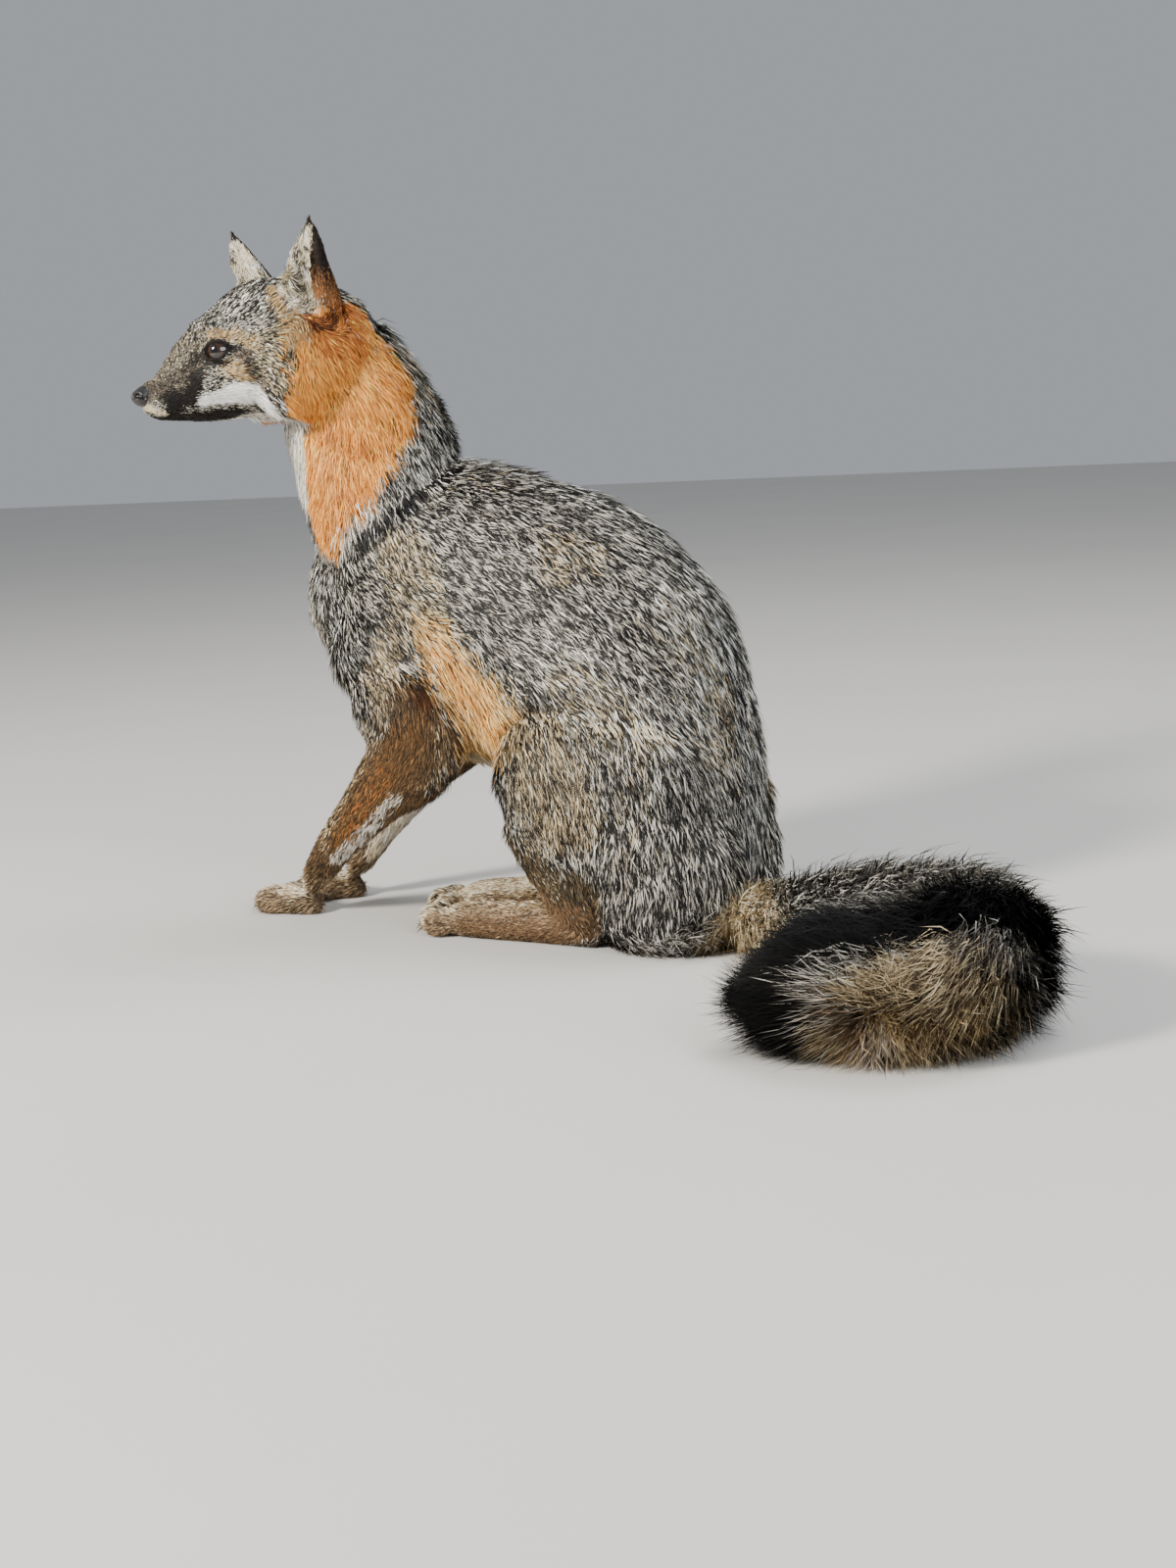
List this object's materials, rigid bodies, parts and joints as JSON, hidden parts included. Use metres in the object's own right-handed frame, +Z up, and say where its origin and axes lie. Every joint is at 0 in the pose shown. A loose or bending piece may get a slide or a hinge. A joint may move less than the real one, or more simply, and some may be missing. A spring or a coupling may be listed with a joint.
{
  "type": "taxidermy fox",
  "caption": "Life-size mounted gray fox sitting on its haunches, fore legs set forward, head turned left, bushy tail curled on the floor beside it.",
  "frame": {"origin": "on the floor, under the middle of the whole fox's box", "axes": "+Z up; the trunk faces -X, so the fox's left side is -Y; the tail lies towards +X and -Y"},
  "size_m": [0.5548, 0.3638, 0.434],
  "materials": {
    "coat_face": "short grizzled fur, white cheeks and black muzzle patches",
    "coat_ear": "short fur, white inside, rusty and black-brown behind",
    "coat_rust": "soft rusty fur",
    "coat_grizzled": "coarse guard hair banded black and white",
    "coat_buff": "short buff fur",
    "coat_tail": "long soft fur, black along the top and at the tip, buff-gray at the side",
    "hide": "tanned skin under the fur",
    "glass_eye": "polished dark brown glass",
    "nose_leather": "pebbled, half gloss",
    "claw_horn": "dull horn"
  },
  "bodies": {
    "root": {"head": "coat_face", "nose_pad": "nose_leather", "eye_left": "glass_eye", "eye_right": "glass_eye", "ear_left": "coat_ear", "ear_right": "coat_ear", "neck": "coat_rust", "trunk": "coat_grizzled", "foreleg_left": "coat_rust", "foreleg_right": "coat_rust", "forepaw_left": "coat_buff", "forepaw_right": "coat_buff", "thigh_left": "coat_grizzled", "thigh_right": "coat_grizzled", "shank_left": "coat_rust", "shank_right": "coat_rust", "hind_foot_left": "coat_buff", "hind_foot_right": "coat_buff", "tail_base": "coat_buff", "tail_middle": "coat_tail", "tail_tip": "coat_tail"}
  },
  "joints": []
}
